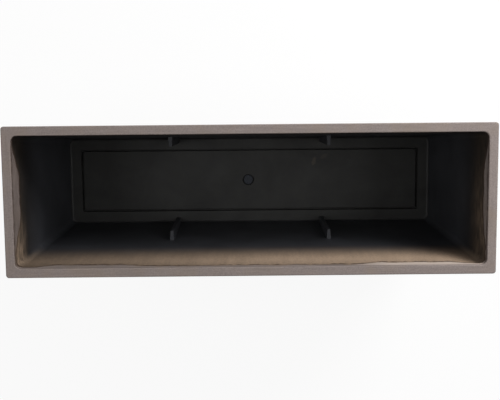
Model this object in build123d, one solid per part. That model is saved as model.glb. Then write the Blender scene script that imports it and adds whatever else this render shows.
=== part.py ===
from build123d import *
import os

# Driving dimensions of the trough, in millimetres.
# The object stands on z = 0, centred on the origin, with its length along x.
length = 800.0                # over the rim
width = 247.0                 # over the rim
height = 392.0                # standing edge to top of rim
rim_width = 15.0              # flat top of the wall
wall_foot = 9.5               # wall thickness where the wall meets the floor
cavity_inset = 23.9           # how far each inner wall leans in, from rim to floor
floor_clearance = 10.0        # ground to underside of floor
floor_thickness = 12.0        # at the border of the floor

# Rounding of the trough
rim_corner = 5.0              # outer vertical corners
mouth_corner = 10.0           # inner vertical corners, at the rim
floor_corner = 12.0           # inner vertical corners, at the floor
rim_outer_round = 2.0
rim_inner_round = 1.5
floor_round = 4.4             # between walls and floor
foot_round = 1.2              # outer edge that meets the ground

# Sunken panel in the floor and the channel round it
border_width = 21.8           # level strip between the walls and the panel
panel_drop = 3.0              # panel lies this far under the border
channel_width = 3.6           # at the level of the panel
channel_foot = 1.0            # width at the bottom
channel_depth = 6.0           # under the panel
pocket_corner = 3.0           # outer corners of the channel
panel_corner = 5.0            # corners of the panel inside the channel
panel_edge_round = 1.0        # upper edge of the panel

# Upright ribs, two on each long wall, that stop stacked troughs from jamming
rib_spacing = 290.0           # between the two ribs of one wall
rib_height = 168.0            # above the floor
rib_ledge = 17.8              # how far the top of a rib stands out from the wall
rib_toe = 9.0                 # how far its foot stands out from the wall
rib_top_thickness = 8.5       # at the root of the rib
rib_foot_thickness = 11.5
rib_nose_taper = 3.0          # how much thinner a rib is at its free edge
rib_edge_round = 1.5
rib_top_round = 0.7

# Slots in the standing edge that let drained water out
slot_spacing = 400.0
slot_width = 32.0
slot_height = 5.0
slot_corner = 2.4

# Drain hole, its well in the panel, and the plug with its seal
drain_x = -2.8                # the drain sits a little off the middle of the length
well_radius = 11.0
well_depth = 4.0
well_chamfer = 0.5
hole_radius = 6.5
stem_clearance = 0.3          # between plug stem and hole
bead_clearance = 0.1          # between the snap bead and the hole
seal_radius = 10.5
seal_thickness = 1.6
seal_round = 0.35
head_radius = 9.2
head_thickness = 3.2
head_round = 0.9
dish_radius = 7.3
dish_depth = 1.3
grip_width = 2.8
stem_wall = 2.2
stem_reach = 2.4              # how far the stem stands out under the floor
bead_height = 1.2
bead_round = 0.4

# Levels and sizes worked out from the values above
floor_level = floor_clearance + floor_thickness
cavity_depth = height - floor_level
panel_level = floor_level - panel_drop
channel_level = panel_level - channel_depth
well_level = panel_level - well_depth
outer_inset_at_floor = rim_width + cavity_inset - wall_foot
outer_lean = outer_inset_at_floor / cavity_depth
base_inset = outer_lean * height
stem_radius = hole_radius - stem_clearance
bead_radius = hole_radius - bead_clearance


upward = (Align.CENTER, Align.CENTER, Align.MIN)      # solids that start at their own level


def rounded_plate(size_x, size_y, corner, level):
    """A flat rectangle with round corners, lying at the given height."""
    return Pos(0, 0, level) * RectangleRounded(size_x, size_y, corner)


def outer_block():
    """The trough's outside, narrower at the ground than at the rim, and full size below the rim's rounding."""
    spare = 2 * outer_lean * rim_outer_round
    ground = rounded_plate(length - 2 * base_inset, width - 2 * base_inset, rim_corner, 0)
    mouth = rounded_plate(length + spare, width + spare, rim_corner, height)
    block = loft([ground, mouth], ruled=True)
    block = fillet(block.edges().group_by(Axis.Z)[-1], rim_outer_round)
    return fillet(block.edges().group_by(Axis.Z)[0], foot_round)


def cavity():
    """The planting space, with its floor edge rounded."""
    foot_x = length - 2 * (rim_width + cavity_inset)
    foot_y = width - 2 * (rim_width + cavity_inset)
    foot = rounded_plate(foot_x, foot_y, floor_corner, floor_level)
    mouth = rounded_plate(length - 2 * rim_width, width - 2 * rim_width, mouth_corner, height)
    space = loft([foot, mouth], ruled=True)
    return fillet(space.edges().group_by(Axis.Z)[0], floor_round)


def wall_inside_y(level):
    """Half the clear width of the cavity at a height."""
    share = (height - level) / cavity_depth
    return width / 2 - rim_width - cavity_inset * share


def wall_outside_y(level):
    """Half the outer width of the trough at a height."""
    return width / 2 - outer_lean * (height - level)


def rib_section(level, stand_out, thickness):
    """Cross-section of a rib at a height, from its free edge to the middle of the wall."""
    free = wall_inside_y(level) - stand_out
    root = (wall_inside_y(level) + wall_outside_y(level)) / 2
    nose = thickness - rib_nose_taper
    corners = [(-nose / 2, free), (nose / 2, free), (thickness / 2, root), (-thickness / 2, root)]
    return Pos(0, 0, level) * Polygon(*corners, align=None)


def rib():
    """One rib on the +y wall at x = 0, as deep as the channel and rooted halfway into the wall."""
    foot = rib_section(channel_level, rib_toe, rib_foot_thickness)
    top = rib_section(floor_level + rib_height, rib_ledge, rib_top_thickness)
    body = loft([foot, top], ruled=True)
    front_edges = body.faces().sort_by(Axis.Y)[0].edges().sort_by(Axis.X)
    body = fillet([front_edges[0], front_edges[-1]], rib_edge_round)
    top_edges = body.faces().sort_by(Axis.Z)[-1].edges().sort_by(Axis.Y)
    return fillet(top_edges[:-1], rib_top_round)


def four_ribs():
    """The rib copied to its four places."""
    one = rib()
    ribs = []
    for side in (0, 180):
        for shift in (-rib_spacing / 2, rib_spacing / 2):
            ribs.append(Rot(0, 0, side) * Pos(shift, 0, 0) * one)
    return ribs


def panel_cut():
    """What is taken out of the floor: a shallow pocket and, round the panel, a channel with sloping sides."""
    pocket_x = length - 2 * (rim_width + cavity_inset + border_width)
    pocket_y = width - 2 * (rim_width + cavity_inset + border_width)
    panel_x = pocket_x - 2 * channel_width
    panel_y = pocket_y - 2 * channel_width
    slope = channel_width - channel_foot
    pocket = extrude(rounded_plate(pocket_x, pocket_y, pocket_corner, panel_level), panel_drop)
    hollow = loft([rounded_plate(pocket_x - slope, pocket_y - slope, pocket_corner, channel_level),
                   rounded_plate(pocket_x, pocket_y, pocket_corner, panel_level)], ruled=True)
    panel = loft([rounded_plate(panel_x + slope, panel_y + slope, panel_corner, channel_level),
                  rounded_plate(panel_x, panel_y, panel_corner, panel_level)], ruled=True)
    panel = fillet(panel.edges().group_by(Axis.Z)[-1], panel_edge_round)
    return pocket + (hollow - panel)


def drain_cut():
    """The well for the plug's head and the hole for its stem."""
    well = Pos(0, 0, well_level) * Cylinder(well_radius, well_depth, align=upward)
    flare = Pos(0, 0, panel_level - well_chamfer) * Cone(
        well_radius, well_radius + well_chamfer, well_chamfer, align=upward)
    hole = Cylinder(hole_radius, well_level, align=upward)
    return Pos(drain_x, 0, 0) * (well + flare + hole)


def underside_cut():
    """The space under the floor, inside the standing edge."""
    outline = RectangleRounded(
        length - 2 * (base_inset + wall_foot), width - 2 * (base_inset + wall_foot), rim_corner)
    return extrude(outline, floor_clearance)


def slot_cuts():
    """Water slots that run across the trough through both long sides of the standing edge."""
    cuts = []
    for shift in (-slot_spacing / 2, slot_spacing / 2):
        outline = Plane.XZ * RectangleRounded(slot_width, 2 * slot_height, slot_corner)
        cuts.append(Pos(shift, 0, 0) * extrude(outline, width / 2, both=True))
    return cuts


def planter_body():
    """The trough as one moulding."""
    body = outer_block() - cavity()
    mouth_edges = body.faces().sort_by(Axis.Z)[-1].inner_wires()[0].edges()
    body = fillet(mouth_edges, rim_inner_round)
    for one in four_ribs():
        body = body + one
    body = body - panel_cut() - drain_cut() - underside_cut()
    for cut in slot_cuts():
        body = body - cut
    return body


def drain_plug():
    """Push-in plug: dished head with a grip bar, hollow stem and a snap bead."""
    head_foot = well_level + seal_thickness
    stem_foot = floor_clearance - stem_reach
    stem_length = head_foot - stem_foot
    dish_level = head_foot + head_thickness - dish_depth
    head = Pos(0, 0, head_foot) * Cylinder(head_radius, head_thickness, align=upward)
    head = fillet(head.edges().group_by(Axis.Z)[-1], head_round)
    dish = Pos(0, 0, dish_level) * Cylinder(dish_radius, dish_depth, align=upward)
    grip = Pos(0, 0, dish_level) * Box(grip_width, 2 * head_radius, dish_depth, align=upward)
    stem = Pos(0, 0, stem_foot) * Cylinder(stem_radius, stem_length, align=upward)
    bead = Pos(0, 0, stem_foot) * Cylinder(bead_radius, bead_height, align=upward)
    bead = fillet(bead.edges(), bead_round)
    hollow = Pos(0, 0, stem_foot) * Cylinder(stem_radius - stem_wall, stem_length, align=upward)
    return Pos(drain_x, 0, 0) * (head - (dish - grip) + stem + bead - hollow)


def plug_seal():
    """Flat rubber ring between the plug's head and the bottom of the well."""
    disc = Pos(0, 0, well_level) * Cylinder(seal_radius, seal_thickness, align=upward)
    disc = fillet(disc.edges(), seal_round)
    bore = Pos(0, 0, well_level) * Cylinder(stem_radius, seal_thickness, align=upward)
    return Pos(drain_x, 0, 0) * (disc - bore)


os.makedirs("parts", exist_ok=True)
export_step(planter_body(), "parts/planter_body.step")
export_step(drain_plug(), "parts/drain_plug.step")
export_step(plug_seal(), "parts/plug_seal.step")
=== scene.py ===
import bpy
import numpy as np
from bpy.props import FloatProperty, FloatVectorProperty, PointerProperty
from mathutils import Matrix, Vector


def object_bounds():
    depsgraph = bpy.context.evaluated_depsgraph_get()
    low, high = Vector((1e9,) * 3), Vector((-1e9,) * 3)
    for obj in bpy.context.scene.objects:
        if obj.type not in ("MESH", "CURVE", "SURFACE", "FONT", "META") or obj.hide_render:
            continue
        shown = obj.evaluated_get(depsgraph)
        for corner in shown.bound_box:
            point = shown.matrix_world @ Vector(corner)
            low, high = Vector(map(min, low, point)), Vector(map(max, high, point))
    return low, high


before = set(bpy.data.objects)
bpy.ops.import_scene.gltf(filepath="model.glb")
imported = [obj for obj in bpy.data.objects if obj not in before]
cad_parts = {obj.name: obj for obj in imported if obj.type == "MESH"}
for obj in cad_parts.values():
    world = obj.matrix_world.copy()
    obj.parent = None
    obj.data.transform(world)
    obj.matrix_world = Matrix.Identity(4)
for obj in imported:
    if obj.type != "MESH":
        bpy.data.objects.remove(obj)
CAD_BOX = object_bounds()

bl_info = {
    "name": "Room divider planter",
    "version": (1, 0, 0),
    "blender": (4, 5, 0),
    "location": "View3D > Sidebar > Planter",
    "description": "Finishes a long planting trough with its drain plug, and sets a plain studio round it",
    "category": "Object",
}

MM = 1000.0                                            # millimetres in a metre
HALF_LENGTH = (CAD_BOX[1][0] - CAD_BOX[0][0]) / 2 * MM
HALF_WIDTH = (CAD_BOX[1][1] - CAD_BOX[0][1]) / 2 * MM
RIM_LEVEL = CAD_BOX[1][2] * MM
RIM_WIDTH = 15.0
WALL_LEAN = 0.07                                       # middle of the wall, run per rise
LEAST_LAP = 3.0                                        # the paint always turns over the rim's inner edge
FLOOR_DEPTH = 370.0                                    # border of the floor below the rim
PANEL_DEPTH = 371.5                                    # just above the floor panel

# The paint inside the trough, in millimetres. The near long wall is at negative y, the right end at
# positive x. A pair gives where a feature starts and where it is full.
TONGUE_NEAR_SIDE = (-86.0, -25.0)                      # y, the lap's broad tongue on each end wall
TONGUE_FAR_SIDE = (95.0, 38.0)
RIGHT_TONGUE_SHARE = 0.55                              # of the left end's tongue
TONGUE_BESIDE = 6.0                                    # lap on the end walls beside the tongue
SWELL_INNER = (170.0, 215.0)                           # distance from the middle of the length
SWELL_OUTER = (355.0, 325.0)
SWELL_HEIGHT = 11.0
FAR_WALL = (60.0, 40.0)                                # y past which the lap is slight
FAR_WALL_SHARE = 0.2
RAGGED_SIZE = 26.0                                     # bumps of the lap's edge
RAGGED_REACH = 4.5
LAP_BLUR = 1.2
SEAM_PAST_LAP = 3.5                                    # brown line past the lap
SEAM_WIDTH = (4.5, 0.5)                                # distance from the line's middle
RIM_SHADOW_DEPTH = 4.5                                  # painted shadow line under the rim's inner edge
RIM_SHADOW_WIDTH = (5.0, 1.5)
BREAK_SIZE = 13.0                                      # gaps in the brown lines
MIST_FULL_DEPTH = 40.0
MIST_NEAR_SIDE = (50.0, -50.0)
MIST_LIGHT_FALLOFF = (-380.0, 80.0)                             # x, painted light falloff: less mist toward the left, away from the key lamp
MIST_CORNER_SHADE = (390.0, 345.0)                           # x, painted shade: less mist in the near right corner, under the right end wall's shadow
MIST_TOP = (5.0, 45.0)                                 # depth, thinner just under the lap
END_MIST_FULL_DEPTH = 26.0
END_MIST_LEFT = (-5.0, -108.0)                         # y, gathers toward the near left corner
END_MIST_RIGHT = (75.0, -30.0)                         # y, fades in from the far right corner
RIGHT_REACH_SHARE = 1.4                                # of the left end's reach
END_STREAK_SIZE = (6.0, 26.0, 6.0)
RUN_SIZE = (11.0, 11.0, 80.0)
SPECKLE_SIZE = 3.2
LOW_SHEEN_DEPTHS = (40.0, 170.0)                            # painted sheen: lighter, bluish plastic down the walls
FLOOR_BLEND = 6.0
SIDE_STROKE_SIZE = (55.0, 3.0, 3.5)
END_STROKE_SIZE = (3.0, 55.0, 3.5)
THIN_COAT_DEPTHS = (2.0, 6.0)
# Painted highlight: a paler paint tone on the near wall's lap at its right end, standing in for the key
# lamp's light there
PAINTED_HIGHLIGHT_X = (150.0, 235.0)
PAINTED_HIGHLIGHT_Y = (-60.0, -90.0)
PAINTED_HIGHLIGHT_DEPTHS = (2.0, 7.0)
FRAY_SIZE = 6.0                                        # edge of the dabs
ON_END_BLEND = 8.0                                     # each side of a corner between two walls

# Dabs of paint on the panel: middle and half size in millimetres, turn in radians, strength
DABS = (((130.0, 36.0), (4.0, 9.0), -0.3, 0.10), ((150.0, 46.0), (9.0, 4.0), 0.5, 0.05))

# Noise in the finishes. The paint's own texture is too fine to show, so its bump is drawn coarser.
GRIT_BUMP_SIZE = 1.4
PLUG_GRAIN_SIZE = 0.5
PLUG_CLOUD_SIZE = 5.0
BLOOM_SIZE = 3.0

# Lamps: name, size, place and target, in metres
LAMPS = (("key", (0.7, 0.5), (1.05, 0.95, 1.1), (0.0, 0.0, 0.39)),
         ("far", (1.6, 0.6), (0.8, 2.2, 1.3), (0.0, 0.0, 0.39)),
         ("left", (0.8, 0.8), (-1.3, 0.1, 2.1), (0.3, 0.0, 0.1)),
         ("right", (0.8, 0.8), (1.3, 0.2, 2.0), (-0.3, 0.0, 0.1)),
         ("overhead", (1.4, 0.8), (0.0, 0.5, 2.7), (0.0, 0.0, 0.39)))

# Camera: place in metres, turns about x, y and z in radians, lens and sensor in millimetres
CAMERA_PLACE = (-0.00424, 0.16968, 1.84352)
CAMERA_TURNS = (("X", -0.1153), ("Y", -0.0024), ("Z", -0.0094))
CAMERA_LENS = 65.09
CAMERA_SENSOR = 36.0
STUDIO_HALF = 20.0                                     # half the studio floor's side, in metres
STUDIO_DROP = 0.0005                                   # floor below the part, in metres


def linear(code):
    """A colour written as an sRGB hex value, in linear light."""
    parts = [int(code[i:i + 2], 16) / 255 for i in (1, 3, 5)]
    return tuple(c / 12.92 if c <= 0.04045 else ((c + 0.055) / 1.055) ** 2.4 for c in parts)


def length(name, description, millimetres):
    """A size property, kept in metres and shown with its unit."""
    return FloatProperty(name=name, description=description, default=millimetres / MM, min=0.0,
                         subtype="DISTANCE", unit="LENGTH", precision=4)


def tint(name, description, code):
    """A colour property with a default written as a hex value."""
    return FloatVectorProperty(name=name, description=description, default=linear(code), size=3,
                               min=0.0, max=1.0, subtype="COLOR")


def share(name, description, default):
    """A property between nothing and all."""
    return FloatProperty(name=name, description=description, default=default, min=0.0, max=1.0,
                         subtype="FACTOR")


def watts(name, description, default):
    """A lamp's power."""
    return FloatProperty(name=name, description=description, default=default, min=0.0, unit="POWER")


class TroughFinish(bpy.types.PropertyGroup):
    """Colours and sizes of the trough's black moulded plastic and its sprayed stone paint."""
    paint: tint("Paint", "Middle tone of the taupe stone paint", "#7d736f")
    paint_dark: tint("Dark grit", "Darker grains in the paint", "#736965")
    paint_light: tint("Light grit", "Lighter grains in the paint", "#857a76")
    paint_patch: tint("Brown patches", "Soft brown patches in the paint", "#7f7268")
    overspray: tint("Overspray", "Warm brown mist of paint on the inner walls", "#a38d78")
    # Painted highlight: this paler tone stands in for the light on the near wall's lap at its right end
    painted_highlight: tint("Pale coat", "Thicker, paler paint inside the right end of the near rim", "#c2b3a8")
    # Also the colour of the painted shadow line under the rim's inner edge
    thin_paint_and_shade: tint("Thin paint", "Brown lines where the paint has run thin", "#3d2f28")
    plastic: tint("Plastic", "Black plastic, not painted", "#1f1c1a")
    # Painted sheen: a lighter, bluish tone low on the walls, standing in for glare in their shade
    plastic_low_sheen: tint("Dusted plastic", "Black plastic low on the walls, under a film of dust", "#37383c")
    # The floor's tone: a lighter, neutral grey than the plastic
    dust: tint("Dust", "Black plastic under a film of grey dust, on the floor", "#343433")
    # The grit is taken as about 0.5 mm, too fine to show, so it is drawn coarser
    grit: length("Grit size", "Grain of the stone paint", 2.2)
    patch_size: length("Patch size", "Width of the soft patches in the paint", 34.0)
    cloud_size: length("Cloud size", "Width of the soft clouds on the bare plastic", 70.0)
    end_lap: length("Paint lap at the ends", "How far the paint reaches down the left end wall", 32.0)
    side_lap: length("Paint lap at the sides", "How far the paint reaches down the long walls", 11.0)
    overspray_reach: length("Overspray reach", "Where the mist of paint ends", 155.0)
    end_reach: length("Overspray reach at the ends", "Where it ends on the left end wall", 80.0)
    paint_roughness: share("Paint roughness", "Roughness of the paint", 0.72)
    plastic_roughness: share("Plastic roughness", "Roughness of the black plastic", 0.50)


class PlugFinish(bpy.types.PropertyGroup):
    """Colours of the drain plug and its seal."""
    plug: tint("Plug", "Blue-grey moulded plastic", "#2a2f38")
    seal: tint("Seal", "Black rubber", "#0d0d0e")
    plug_roughness: share("Plug roughness", "Roughness of the plug's plastic", 0.38)
    seal_roughness: share("Seal roughness", "Roughness of the rubber", 0.62)


class Studio(bpy.types.PropertyGroup):
    """Plain pale floor, soft lamps and the camera."""
    floor: tint("Floor", "Pale floor", "#efefef")
    backdrop_share: share("Backdrop white", "How much of pure white the floor shows to the camera", 0.9)
    sky: FloatProperty(name="Sky", description="Strength of the even light from all sides", default=0.40,
                       min=0.0)
    key: watts("Key lamp", "Near lamp past the far right corner", 23.0)
    far: watts("Far lamp", "Broad low lamp beyond the far long side", 7.0)
    left: watts("Left lamp", "High lamp off the left end", 7.0)
    right: watts("Right lamp", "High lamp off the right end", 6.0)
    overhead: watts("Overhead lamp", "Broad lamp above the trough", 0.3)


def add(tree, kind, settings=None, links=None):
    """Adds a node. Settings fill its own fields or its inputs, and links join outputs to its inputs."""
    made = tree.nodes.new("ShaderNode" + kind)
    for key, value in (settings or {}).items():
        if isinstance(key, str) and hasattr(made, key):
            setattr(made, key, value)
        else:
            made.inputs[key].default_value = value
    for key, source in (links or {}).items():
        tree.links.new(getattr(source, "outputs", [source])[0], made.inputs[key])
    return made


def new_material(name):
    """An empty material and its node tree."""
    material = bpy.data.materials.new(name)
    material.use_nodes = True
    material.node_tree.nodes.clear()
    return material, material.node_tree


def dress(node_name, material):
    """Gives a frame node's object this material all over."""
    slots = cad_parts[node_name].data.materials
    if not slots:
        slots.append(material)
    for index in range(len(slots)):
        slots[index] = material


def grid_mesh(name, surface, across, along):
    """A mesh whose point (u, v) is surface(u, v), with u and v running evenly from 0 to 1 on a grid."""
    u, v = np.meshgrid(np.linspace(0, 1, across), np.linspace(0, 1, along), indexing="ij")
    points = np.stack(surface(u, v), axis=-1).reshape(-1, 3)
    first = (np.arange(across - 1)[:, None] * along + np.arange(along - 1)[None, :]).ravel()
    quads = np.stack((first, first + along, first + along + 1, first + 1), axis=1)
    mesh = bpy.data.meshes.new(name)
    mesh.from_pydata(points.tolist(), [], quads.tolist())
    mesh.update()
    return mesh


def object_mm(tree):
    """Place on the piece, in millimetres."""
    place = add(tree, "TexCoord")
    return add(tree, "VectorMath", {"operation": "SCALE", "Scale": MM}, {0: place.outputs["Object"]})


def per_size(sizes):
    """Mapping scale at which a pattern of unit size gets these sizes."""
    return tuple(1 / size for size in sizes)


def level_sheet(u, v):
    """The studio floor: u and v stretched over its side and centred, at one level just below the part."""
    side = 2 * STUDIO_HALF
    return (u - 0.5) * side, (v - 0.5) * side, np.full_like(u, -STUDIO_DROP)


def trough_places(tree):
    """Sockets that say where on the trough a point is, in millimetres.

    A point is inside the trough where it lies nearer the middle of the plan than the wall's own middle."""
    mm = object_mm(tree)
    x, y, z = add(tree, "SeparateXYZ", links={0: mm}).outputs
    depth = add(tree, "Math", {"operation": "SUBTRACT", 0: RIM_LEVEL}, {1: z})
    off_x = add(tree, "Math", {"operation": "ABSOLUTE"}, {0: x})
    off_y = add(tree, "Math", {"operation": "ABSOLUTE"}, {0: y})
    end_middle = add(tree, "Math", {"operation": "MULTIPLY_ADD", 1: -WALL_LEAN,
                                    2: HALF_LENGTH - RIM_WIDTH / 2}, {0: depth})
    side_middle = add(tree, "Math", {"operation": "MULTIPLY_ADD", 1: -WALL_LEAN,
                                     2: HALF_WIDTH - RIM_WIDTH / 2}, {0: depth})
    to_end = add(tree, "Math", {"operation": "SUBTRACT"}, {0: end_middle, 1: off_x})
    to_side = add(tree, "Math", {"operation": "SUBTRACT"}, {0: side_middle, 1: off_y})
    nearest = add(tree, "Math", {"operation": "MINIMUM"}, {0: to_end, 1: to_side})
    outside = add(tree, "Math", {"operation": "LESS_THAN", 1: 0.0}, {0: nearest})
    end_lead = add(tree, "Math", {"operation": "SUBTRACT"}, {0: to_side, 1: to_end})
    on_end = add(tree, "MapRange", {"interpolation_type": "SMOOTHSTEP", "From Min": -ON_END_BLEND,
                                    "From Max": ON_END_BLEND}, {"Value": end_lead})
    inside = add(tree, "Math", {"operation": "SUBTRACT", 0: 1.0}, {1: outside})
    return {"mm": mm, "x": x, "y": y, "depth": depth, "off_x": off_x, "outside": outside, "inside": inside,
            "on_end": on_end}


def paint_lap(tree, at, finish):
    """How far a point lies past the edge of the paint that laps over the rim: a broad tongue on each end
    wall, a strip on the near long wall that swells toward its ends, and next to nothing on the far one."""
    tongue_start = add(tree, "MapRange", {"interpolation_type": "SMOOTHSTEP", "From Min": TONGUE_NEAR_SIDE[0],
                                          "From Max": TONGUE_NEAR_SIDE[1]}, {"Value": at["y"]})
    tongue_end = add(tree, "MapRange", {"interpolation_type": "SMOOTHSTEP", "From Min": TONGUE_FAR_SIDE[0],
                                        "From Max": TONGUE_FAR_SIDE[1]}, {"Value": at["y"]})
    tongue = add(tree, "Math", {"operation": "MULTIPLY"}, {0: tongue_start, 1: tongue_end})
    tongue_height = add(tree, "MapRange", {"From Min": -1.0, "From Max": 1.0, "To Min": finish.end_lap * MM,
                                           "To Max": finish.end_lap * MM * RIGHT_TONGUE_SHARE},
                        {"Value": at["x"]})
    end_lap = add(tree, "Math", {"operation": "MULTIPLY_ADD", 2: TONGUE_BESIDE},
                  {0: tongue, 1: tongue_height})
    swell_start = add(tree, "MapRange", {"interpolation_type": "SMOOTHSTEP", "From Min": SWELL_INNER[0],
                                         "From Max": SWELL_INNER[1]}, {"Value": at["off_x"]})
    swell_end = add(tree, "MapRange", {"interpolation_type": "SMOOTHSTEP", "From Min": SWELL_OUTER[0],
                                       "From Max": SWELL_OUTER[1]}, {"Value": at["off_x"]})
    swell = add(tree, "Math", {"operation": "MULTIPLY"}, {0: swell_start, 1: swell_end})
    side_lap = add(tree, "Math", {"operation": "MULTIPLY_ADD", 1: SWELL_HEIGHT, 2: finish.side_lap * MM},
                   {0: swell})
    near_side = add(tree, "MapRange", {"From Min": FAR_WALL[0], "From Max": FAR_WALL[1],
                                       "To Min": FAR_WALL_SHARE}, {"Value": at["y"]})
    near_lap = add(tree, "Math", {"operation": "MULTIPLY"}, {0: side_lap, 1: near_side})
    even_lap = add(tree, "Mix", {"data_type": "FLOAT"},
                   {"Factor": at["on_end"], "A": near_lap, "B": end_lap})
    wobble = add(tree, "TexNoise", {"Scale": 1 / RAGGED_SIZE, "Detail": 5.0, "Roughness": 0.62},
                 {"Vector": at["mm"]})
    ragged = add(tree, "MapRange", {"From Min": 0.25, "From Max": 0.75, "To Min": -RAGGED_REACH,
                                    "To Max": RAGGED_REACH}, {"Value": wobble})
    uneven_lap = add(tree, "Math", {"operation": "ADD"}, {0: even_lap, 1: ragged})
    lap = add(tree, "Math", {"operation": "MAXIMUM", 1: LEAST_LAP}, {0: uneven_lap})
    return add(tree, "Math", {"operation": "SUBTRACT"}, {0: at["depth"], 1: lap})


def seams_and_rim_shadow(tree, at, past_lap):
    """Brown lines: one where the paint has run thin just past the lap, and a painted shadow line just under
    the rim's inner edge, mostly on the end walls, standing in for shade under the rim. Noise breaks them up."""
    from_seam = add(tree, "Math", {"operation": "SUBTRACT", 1: SEAM_PAST_LAP}, {0: past_lap})
    off_seam = add(tree, "Math", {"operation": "ABSOLUTE"}, {0: from_seam})
    seam = add(tree, "MapRange", {"interpolation_type": "SMOOTHSTEP", "From Min": SEAM_WIDTH[0],
                                  "From Max": SEAM_WIDTH[1], "To Max": 0.95}, {"Value": off_seam})
    # Painted shadow: a brown line just under the rim's inner edge, strongest on the end walls
    from_rim_shadow = add(tree, "Math", {"operation": "SUBTRACT", 1: RIM_SHADOW_DEPTH}, {0: at["depth"]})
    off_rim_shadow = add(tree, "Math", {"operation": "ABSOLUTE"}, {0: from_rim_shadow})
    rim_shadow_line = add(tree, "MapRange", {"interpolation_type": "SMOOTHSTEP", "From Min": RIM_SHADOW_WIDTH[0],
                                       "From Max": RIM_SHADOW_WIDTH[1]}, {"Value": off_rim_shadow})
    rim_shadow_strength = add(tree, "MapRange", {"To Min": 0.12, "To Max": 0.8}, {"Value": at["on_end"]})
    edge = add(tree, "Math", {"operation": "MULTIPLY"}, {0: rim_shadow_line, 1: rim_shadow_strength})
    lines = add(tree, "Math", {"operation": "MAXIMUM"}, {0: seam, 1: edge})
    breaks = add(tree, "TexNoise", {"Scale": 1 / BREAK_SIZE, "Detail": 3.0, "Roughness": 0.65},
                 {"Vector": at["mm"]})
    held = add(tree, "MapRange", {"From Min": 0.38, "From Max": 0.58, "To Min": 0.35}, {"Value": breaks})
    broken = add(tree, "Math", {"operation": "MULTIPLY"}, {0: lines, 1: held})
    return add(tree, "Math", {"operation": "MULTIPLY", "use_clamp": True}, {0: broken, 1: at["inside"]})


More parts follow.
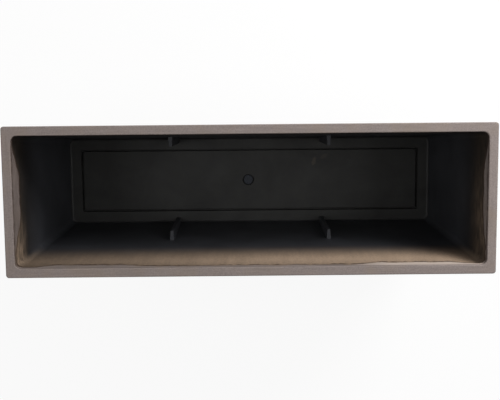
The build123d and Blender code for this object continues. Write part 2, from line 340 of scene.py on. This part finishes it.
def paint_mist(tree, at, finish):
    """Amount of the mist of paint past the lap. On the near long wall it is full below the rim and fades
    down; it is also less toward the left, as painted light falloff, and in the near right corner, as painted
    shade.
    On the left end wall it gathers toward the near corner, and on the right one it is thin and streaky.
    The far long wall has none."""
    long_fade = add(tree, "MapRange", {"interpolation_type": "SMOOTHSTEP",
                                       "From Min": finish.overspray_reach * MM,
                                       "From Max": MIST_FULL_DEPTH}, {"Value": at["depth"]})
    near_side = add(tree, "MapRange", {"interpolation_type": "SMOOTHSTEP", "From Min": MIST_NEAR_SIDE[0],
                                       "From Max": MIST_NEAR_SIDE[1]}, {"Value": at["y"]})
    # Painted light falloff: less mist toward the left end, away from the key lamp at the right
    mist_light_falloff = add(tree, "MapRange", {"From Min": MIST_LIGHT_FALLOFF[0], "From Max": MIST_LIGHT_FALLOFF[1], "To Min": 0.48},
                    {"Value": at["x"]})
    thin_top = add(tree, "MapRange", {"From Min": MIST_TOP[0], "From Max": MIST_TOP[1], "To Min": 0.72},
                   {"Value": at["depth"]})
    # Painted shade: less mist in the near right corner, standing in for the right end wall's shadow
    corner_shade = add(tree, "MapRange", {"From Min": MIST_CORNER_SHADE[0], "From Max": MIST_CORNER_SHADE[1],
                                         "To Min": 0.35}, {"Value": at["x"]})
    near_wall = add(tree, "Math", {"operation": "MULTIPLY"}, {0: near_side, 1: corner_shade})
    near_mist = add(tree, "Math", {"operation": "MULTIPLY"}, {0: long_fade, 1: near_wall})
    sloped_mist = add(tree, "Math", {"operation": "MULTIPLY"}, {0: near_mist, 1: mist_light_falloff})
    long_mist = add(tree, "Math", {"operation": "MULTIPLY"}, {0: sloped_mist, 1: thin_top})
    gathered = add(tree, "MapRange", {"interpolation_type": "SMOOTHSTEP", "From Min": END_MIST_LEFT[0],
                                      "From Max": END_MIST_LEFT[1], "To Min": 0.05, "To Max": 0.6},
                   {"Value": at["y"]})
    right_end = add(tree, "MapRange", {"From Min": -1.0, "From Max": 1.0}, {"Value": at["x"]})
    right_amount = add(tree, "MapRange", {"From Min": END_MIST_RIGHT[0], "From Max": END_MIST_RIGHT[1],
                                          "To Min": 0.07, "To Max": 0.25}, {"Value": at["y"]})
    end_amount = add(tree, "Mix", {"data_type": "FLOAT"},
                     {"Factor": right_end, "A": gathered, "B": right_amount})
    end_reach = add(tree, "MapRange", {"From Min": -1.0, "From Max": 1.0, "To Min": finish.end_reach * MM,
                                       "To Max": finish.end_reach * MM * RIGHT_REACH_SHARE},
                    {"Value": at["x"]})
    end_fade = add(tree, "MapRange", {"interpolation_type": "SMOOTHSTEP", "From Max": END_MIST_FULL_DEPTH},
                   {"Value": at["depth"], "From Min": end_reach})
    end_place = add(tree, "Mapping", {"Scale": per_size(END_STREAK_SIZE)}, {"Vector": at["mm"]})
    end_streaks = add(tree, "TexNoise", {"Scale": 1.0, "Detail": 4.0, "Roughness": 0.6},
                      {"Vector": end_place})
    end_uneven = add(tree, "MapRange", {"From Min": 0.36, "From Max": 0.64, "To Min": 0.35, "To Max": 1.55},
                     {"Value": end_streaks})
    even_end_mist = add(tree, "Math", {"operation": "MULTIPLY"}, {0: end_amount, 1: end_fade})
    end_mist = add(tree, "Math", {"operation": "MULTIPLY"}, {0: even_end_mist, 1: end_uneven})
    mist = add(tree, "Mix", {"data_type": "FLOAT"}, {"Factor": at["on_end"], "A": long_mist, "B": end_mist})

    # Runs down the walls and a fine speckle
    run_place = add(tree, "Mapping", {"Scale": per_size(RUN_SIZE)}, {"Vector": at["mm"]})
    runs = add(tree, "TexNoise", {"Scale": 1.0, "Detail": 4.0, "Roughness": 0.62}, {"Vector": run_place})
    run_amount = add(tree, "MapRange", {"From Min": 0.3, "From Max": 0.7, "To Min": 0.84, "To Max": 1.1},
                     {"Value": runs})
    speckle = add(tree, "TexNoise", {"Scale": 1 / SPECKLE_SIZE, "Detail": 3.0, "Roughness": 0.7},
                  {"Vector": at["mm"]})
    speckle_amount = add(tree, "MapRange", {"From Min": 0.3, "From Max": 0.7, "To Min": 0.74, "To Max": 1.14},
                         {"Value": speckle})
    uneven = add(tree, "Math", {"operation": "MULTIPLY"}, {0: run_amount, 1: speckle_amount})
    return add(tree, "Math", {"operation": "MULTIPLY", "use_clamp": True}, {0: mist, 1: uneven})


def floor_dabs(tree, at):
    """Amount of the two faint dabs of paint on the floor panel, each a frayed ellipse."""
    fray = add(tree, "TexNoise", {"Scale": 1 / FRAY_SIZE, "Detail": 3.0, "Roughness": 0.6},
               {"Vector": at["mm"]})
    on_floor = add(tree, "Math", {"operation": "GREATER_THAN", 1: PANEL_DEPTH}, {0: at["depth"]})
    amounts = []
    for middle, reach, turn, strength in DABS:
        local = add(tree, "Mapping", {"vector_type": "TEXTURE", "Location": (*middle, 0.0),
                                      "Rotation": (0.0, 0.0, turn), "Scale": (*reach, MM)},
                    {"Vector": at["mm"]})
        away = add(tree, "VectorMath", {"operation": "LENGTH"}, {0: local})
        frayed = add(tree, "Math", {"operation": "MULTIPLY_ADD", 1: 1.1},
                     {0: fray, 2: away.outputs["Value"]})
        amounts.append(add(tree, "MapRange", {"interpolation_type": "SMOOTHSTEP", "From Min": 1.75,
                                              "From Max": 1.15, "To Max": strength}, {"Value": frayed}))
    both = add(tree, "Math", {"operation": "MAXIMUM"}, {0: amounts[0], 1: amounts[1]})
    return add(tree, "Math", {"operation": "MULTIPLY"}, {0: both, 1: on_floor})


def bare_plastic(tree, at, finish):
    """Colour of the black plastic: soft clouds everywhere, a painted sheen that turns it lighter and bluish
    down the walls, standing in for glare in their shade, and a lighter, neutral grey on the floor."""
    clouds = add(tree, "TexNoise", {"Scale": 1 / (finish.cloud_size * MM), "Detail": 4.0, "Roughness": 0.6,
                                    "Distortion": 0.4}, {"Vector": at["mm"]})
    cloud_tone = add(tree, "MapRange", {"From Min": 0.3, "From Max": 0.7, "To Min": 0.78, "To Max": 1.22},
                     {"Value": clouds})
    on_floor = add(tree, "MapRange", {"From Min": FLOOR_DEPTH - FLOOR_BLEND, "From Max": FLOOR_DEPTH},
                   {"Value": at["depth"]})
    # Painted sheen: the walls turn lighter and bluish with depth, standing in for glare in their shade
    film = add(tree, "MapRange", {"interpolation_type": "SMOOTHSTEP", "From Min": LOW_SHEEN_DEPTHS[0],
                                  "From Max": LOW_SHEEN_DEPTHS[1]}, {"Value": at["depth"]})
    wall = add(tree, "Mix", {"data_type": "RGBA", 6: (*finish.plastic, 1.0), 7: (*finish.plastic_low_sheen, 1.0)},
               {"Factor": film})
    dusty = add(tree, "Mix", {"data_type": "RGBA", 7: (*finish.dust, 1.0)},
                {"Factor": on_floor, 6: wall.outputs[2]})
    return add(tree, "VectorMath", {"operation": "SCALE"}, {0: dusty.outputs[2], "Scale": cloud_tone})


def stone_paint(tree, at, finish):
    """Colour of the stone paint: grains of three tones, soft brown patches, faint strokes along each wall, a
    thin brown coat inside the left end, and a painted highlight, a paler tone where the near wall's lap
    swells at its right."""
    grains = add(tree, "TexNoise", {"Scale": 1 / (finish.grit * MM), "Detail": 2.0, "Roughness": 0.7},
                 {"Vector": at["mm"]})
    grain_tone = add(tree, "ValToRGB", links={"Fac": grains})
    ramp = grain_tone.color_ramp
    ramp.elements[0].position = 0.32
    ramp.elements[0].color = (*finish.paint_dark, 1.0)
    ramp.elements[1].position = 0.68
    ramp.elements[1].color = (*finish.paint_light, 1.0)
    middle = ramp.elements.new(0.5)
    middle.color = (*finish.paint, 1.0)
    patches = add(tree, "TexNoise", {"Scale": 1 / (finish.patch_size * MM), "Detail": 3.0, "Roughness": 0.55},
                  {"Vector": at["mm"]})
    patch_amount = add(tree, "MapRange", {"From Min": 0.45, "From Max": 0.72, "To Max": 0.55},
                       {"Value": patches})
    patched = add(tree, "Mix", {"data_type": "RGBA", 7: (*finish.paint_patch, 1.0)},
                  {"Factor": patch_amount, 6: grain_tone.outputs[0]})

    # Strokes run along x on the long walls and along y on the end walls
    side_place = add(tree, "Mapping", {"Scale": per_size(SIDE_STROKE_SIZE)}, {"Vector": at["mm"]})
    end_place = add(tree, "Mapping", {"Scale": per_size(END_STROKE_SIZE)}, {"Vector": at["mm"]})
    stroke_place = add(tree, "Mix", {"data_type": "VECTOR"},
                       {"Factor": at["on_end"], 4: side_place, 5: end_place})
    strokes = add(tree, "TexNoise", {"Scale": 1.0, "Detail": 3.0, "Roughness": 0.55},
                  {"Vector": stroke_place.outputs[1]})
    inner_depth = add(tree, "MapRange", {"From Min": 1.0, "From Max": 8.0, "To Min": 0.09, "To Max": 0.3},
                      {"Value": at["depth"]})
    stroke_depth = add(tree, "Math", {"operation": "MULTIPLY"}, {0: inner_depth, 1: at["inside"]})
    stroke_reach = add(tree, "Math", {"operation": "MAXIMUM", 1: 0.09}, {0: stroke_depth})
    stroke_swing = add(tree, "MapRange", {"From Min": 0.3, "From Max": 0.7, "To Min": -1.0, "To Max": 1.0},
                       {"Value": strokes})
    stroke_tone = add(tree, "Math", {"operation": "MULTIPLY_ADD", 2: 1.0},
                      {0: stroke_swing, 1: stroke_reach})
    stroked = add(tree, "VectorMath", {"operation": "SCALE"}, {0: patched.outputs[2], "Scale": stroke_tone})

    # The coat is thin on the left end wall, and brown shows through it
    left_end = add(tree, "MapRange", {"From Min": 1.0, "From Max": -1.0, "To Max": 0.42}, {"Value": at["x"]})
    thin_place = add(tree, "Math", {"operation": "MULTIPLY"}, {0: left_end, 1: at["on_end"]})
    thin_inside = add(tree, "Math", {"operation": "MULTIPLY"}, {0: thin_place, 1: at["inside"]})
    thin_deep = add(tree, "MapRange", {"From Min": THIN_COAT_DEPTHS[0], "From Max": THIN_COAT_DEPTHS[1]},
                    {"Value": at["depth"]})
    thin = add(tree, "Math", {"operation": "MULTIPLY"}, {0: thin_inside, 1: thin_deep})
    thinned = add(tree, "Mix", {"data_type": "RGBA", 7: (*finish.thin_paint_and_shade, 1.0)},
                  {"Factor": thin, 6: stroked})

    # Painted highlight: a paler tone where the near wall's lap swells at its right, standing in for the key
    # lamp's light
    highlight_right = add(tree, "MapRange", {"interpolation_type": "SMOOTHSTEP", "From Min": PAINTED_HIGHLIGHT_X[0],
                                        "From Max": PAINTED_HIGHLIGHT_X[1]}, {"Value": at["x"]})
    highlight_near = add(tree, "MapRange", {"From Min": PAINTED_HIGHLIGHT_Y[0], "From Max": PAINTED_HIGHLIGHT_Y[1],
                                       "To Max": 0.75}, {"Value": at["y"]})
    highlight_deep = add(tree, "MapRange", {"From Min": PAINTED_HIGHLIGHT_DEPTHS[0], "From Max": PAINTED_HIGHLIGHT_DEPTHS[1]},
                    {"Value": at["depth"]})
    highlight_place = add(tree, "Math", {"operation": "MULTIPLY"}, {0: highlight_right, 1: highlight_near})
    highlight_inside = add(tree, "Math", {"operation": "MULTIPLY"}, {0: highlight_place, 1: at["inside"]})
    pale = add(tree, "Math", {"operation": "MULTIPLY"}, {0: highlight_inside, 1: highlight_deep})
    return add(tree, "Mix", {"data_type": "RGBA", 7: (*finish.painted_highlight, 1.0)},
               {"Factor": pale, 6: thinned.outputs[2]})


def trough_material(finish):
    """Polypropylene, injection moulded in black, with taupe stone paint sprayed on from outside.

    The paint covers everything outside and laps over the rim, and past the edge of the lap a warm mist of
    paint thins out down the wall. The paint is matt, the bare plastic has a soft gloss, and the mist dulls
    it."""
    material, tree = new_material("polypropylene, moulded black, sprayed stone paint")
    at = trough_places(tree)
    past_lap = paint_lap(tree, at, finish)
    lap_cover = add(tree, "MapRange", {"From Min": LAP_BLUR, "From Max": -LAP_BLUR}, {"Value": past_lap})
    painted = add(tree, "Math", {"operation": "MAXIMUM"}, {0: lap_cover, 1: at["outside"]})
    mist = paint_mist(tree, at, finish)
    mist_and_dabs = add(tree, "Math", {"operation": "MAXIMUM"}, {0: mist, 1: floor_dabs(tree, at)})
    misted = add(tree, "Mix", {"data_type": "RGBA", 7: (*finish.overspray, 1.0)},
                 {"Factor": mist_and_dabs, 6: bare_plastic(tree, at, finish)})
    coated = add(tree, "Mix", {"data_type": "RGBA"},
                 {"Factor": painted, 6: misted.outputs[2], 7: stone_paint(tree, at, finish).outputs[2]})
    # The thin-paint colour over the seam past the lap and over the painted shadow under the rim
    seamed_and_shaded = add(tree, "Mix", {"data_type": "RGBA", 7: (*finish.thin_paint_and_shade, 1.0)},
                {"Factor": seams_and_rim_shadow(tree, at, past_lap), 6: coated.outputs[2]})

    dulled = add(tree, "Math", {"operation": "MAXIMUM"}, {0: painted, 1: mist})
    roughness = add(tree, "MapRange", {"To Min": finish.plastic_roughness, "To Max": finish.paint_roughness},
                    {"Value": dulled})
    texture = add(tree, "TexNoise", {"Scale": 1 / GRIT_BUMP_SIZE, "Detail": 3.0, "Roughness": 0.6},
                  {"Vector": at["mm"]})
    relief = add(tree, "Math", {"operation": "MULTIPLY"}, {0: texture, 1: painted})
    grit_bump = add(tree, "Bump", {"Strength": 0.3, "Distance": 0.0002}, {"Height": relief})
    shader = add(tree, "BsdfPrincipled", {"IOR": 1.49, "Specular IOR Level": 0.28},
                 {"Base Color": seamed_and_shaded.outputs[2], "Roughness": roughness, "Normal": grit_bump})
    add(tree, "OutputMaterial", links={"Surface": shader})
    return material


def plug_material(finish):
    """Polypropylene, injection moulded in blue-grey: plain, finely grained, glossier than the trough."""
    material, tree = new_material("polypropylene, moulded blue-grey")
    mm = object_mm(tree)
    cloud = add(tree, "TexNoise", {"Scale": 1 / PLUG_CLOUD_SIZE, "Detail": 3.0}, {"Vector": mm})
    tone = add(tree, "MapRange", {"From Min": 0.3, "From Max": 0.7, "To Min": 0.8, "To Max": 1.2},
               {"Value": cloud})
    colour = add(tree, "VectorMath", {"operation": "SCALE", 0: tuple(finish.plug)}, {"Scale": tone})
    grain = add(tree, "TexNoise", {"Scale": 1 / PLUG_GRAIN_SIZE, "Detail": 2.0}, {"Vector": mm})
    bump = add(tree, "Bump", {"Strength": 0.2, "Distance": 0.00005}, {"Height": grain})
    shader = add(tree, "BsdfPrincipled",
                 {"IOR": 1.49, "Specular IOR Level": 0.35, "Roughness": finish.plug_roughness},
                 {"Base Color": colour, "Normal": bump})
    add(tree, "OutputMaterial", links={"Surface": shader})
    return material


def seal_material(finish):
    """EPDM rubber, moulded: black and matt, with a dusty bloom."""
    material, tree = new_material("EPDM rubber, moulded")
    mm = object_mm(tree)
    bloom = add(tree, "TexNoise", {"Scale": 1 / BLOOM_SIZE, "Detail": 4.0}, {"Vector": mm})
    tone = add(tree, "MapRange", {"From Min": 0.3, "From Max": 0.7, "To Min": 0.7, "To Max": 1.6},
               {"Value": bloom})
    colour = add(tree, "VectorMath", {"operation": "SCALE", 0: tuple(finish.seal)}, {"Scale": tone})
    shader = add(tree, "BsdfPrincipled", {"IOR": 1.5, "Roughness": finish.seal_roughness},
                 {"Base Color": colour})
    add(tree, "OutputMaterial", links={"Surface": shader})
    return material


class PLANTER_OT_trough(bpy.types.Operator):
    """Gives the trough its painted and bare plastic"""
    bl_idname = "planter.trough"
    bl_label = "Finish the trough"

    def execute(self, context):
        dress("planter_body", trough_material(context.scene.planter_trough))
        return {"FINISHED"}


class PLANTER_OT_plug(bpy.types.Operator):
    """Gives the drain plug and its seal their finishes"""
    bl_idname = "planter.plug"
    bl_label = "Finish the drain plug and seal"

    def execute(self, context):
        finish = context.scene.planter_plug
        dress("drain_plug", plug_material(finish))
        dress("plug_seal", seal_material(finish))
        return {"FINISHED"}


def lamp(name, power, size, place, target):
    """A soft rectangular lamp that looks from its place to its target."""
    data = bpy.data.lights.new(name, "AREA")
    data.shape = "RECTANGLE"
    data.size, data.size_y = size
    data.energy = power
    made = bpy.data.objects.new(name, data)
    aim = (Vector(target) - Vector(place)).to_track_quat("-Z", "Y")
    made.matrix_world = Matrix.Translation(place) @ aim.to_matrix().to_4x4()
    made.visible_camera = False
    bpy.context.scene.collection.objects.link(made)


class PLANTER_OT_studio(bpy.types.Operator):
    """Lays the floor, hangs the lamps and sets up the camera"""
    bl_idname = "planter.studio"
    bl_label = "Set the studio"

    def execute(self, context):
        studio = context.scene.planter_studio
        scene = context.scene

        # Floor, with a share of pure white for the camera
        sheet = grid_mesh("studio_floor", level_sheet, 3, 3)
        floor = bpy.data.objects.new("studio_floor", sheet)
        scene.collection.objects.link(floor)
        material, tree = new_material("painted studio floor")
        matt = add(tree, "BsdfDiffuse", {"Color": (*studio.floor, 1.0)})
        white = add(tree, "Emission", {"Strength": 1.0})
        path = add(tree, "LightPath")
        seen = add(tree, "Math", {"operation": "MULTIPLY", 1: studio.backdrop_share},
                   {0: path.outputs["Is Camera Ray"]})
        both = add(tree, "MixShader", links={0: seen, 1: matt, 2: white})
        add(tree, "OutputMaterial", links={"Surface": both})
        sheet.materials.append(material)

        # Even light from all sides, white to the camera
        world = bpy.data.worlds.new("studio")
        world.use_nodes = True
        tree = world.node_tree
        tree.nodes.clear()
        path = add(tree, "LightPath")
        strength = add(tree, "MapRange", {"To Min": studio.sky, "To Max": 1.0},
                       {"Value": path.outputs["Is Camera Ray"]})
        sky = add(tree, "Background", {"Color": (1.0, 1.0, 1.0, 1.0)}, {"Strength": strength})
        add(tree, "OutputWorld", links={"Surface": sky})
        scene.world = world

        for name, size, place, target in LAMPS:
            lamp(name, getattr(studio, name), size, place, target)

        camera_data = bpy.data.cameras.new("camera")
        camera_data.lens = CAMERA_LENS
        camera_data.sensor_width = CAMERA_SENSOR
        camera = bpy.data.objects.new("camera", camera_data)
        turn = Matrix.Identity(4)
        for axis, angle in CAMERA_TURNS:
            turn = turn @ Matrix.Rotation(angle, 4, axis)
        camera.matrix_world = Matrix.Translation(CAMERA_PLACE) @ turn
        scene.collection.objects.link(camera)
        scene.camera = camera
        scene.view_settings.view_transform = "Standard"
        return {"FINISHED"}


class PLANTER_PT_sidebar(bpy.types.Panel):
    """Lists the steps and their sizes and colours"""
    bl_idname = "PLANTER_PT_sidebar"
    bl_label = "Planter"
    bl_space_type = "VIEW_3D"
    bl_region_type = "UI"
    bl_category = "Planter"

    def draw(self, context):
        for operator, group in STEPS:
            self.layout.operator(operator)
            values = getattr(context.scene, group)
            for name in values.bl_rna.properties.keys():
                if name not in ("rna_type", "name"):
                    self.layout.prop(values, name)


STEPS = (("planter.trough", "planter_trough"), ("planter.plug", "planter_plug"),
         ("planter.studio", "planter_studio"))
CLASSES = (TroughFinish, PlugFinish, Studio, PLANTER_OT_trough, PLANTER_OT_plug, PLANTER_OT_studio,
           PLANTER_PT_sidebar)


def register():
    for one in CLASSES:
        bpy.utils.register_class(one)
    bpy.types.Scene.planter_trough = PointerProperty(type=TroughFinish)
    bpy.types.Scene.planter_plug = PointerProperty(type=PlugFinish)
    bpy.types.Scene.planter_studio = PointerProperty(type=Studio)


def unregister():
    del bpy.types.Scene.planter_trough
    del bpy.types.Scene.planter_plug
    del bpy.types.Scene.planter_studio
    for one in reversed(CLASSES):
        bpy.utils.unregister_class(one)


def main():
    """Registers the classes and runs the steps in order."""
    register()
    bpy.ops.planter.trough()
    bpy.ops.planter.plug()
    bpy.ops.planter.studio()


if __name__ == "__main__":
    main()
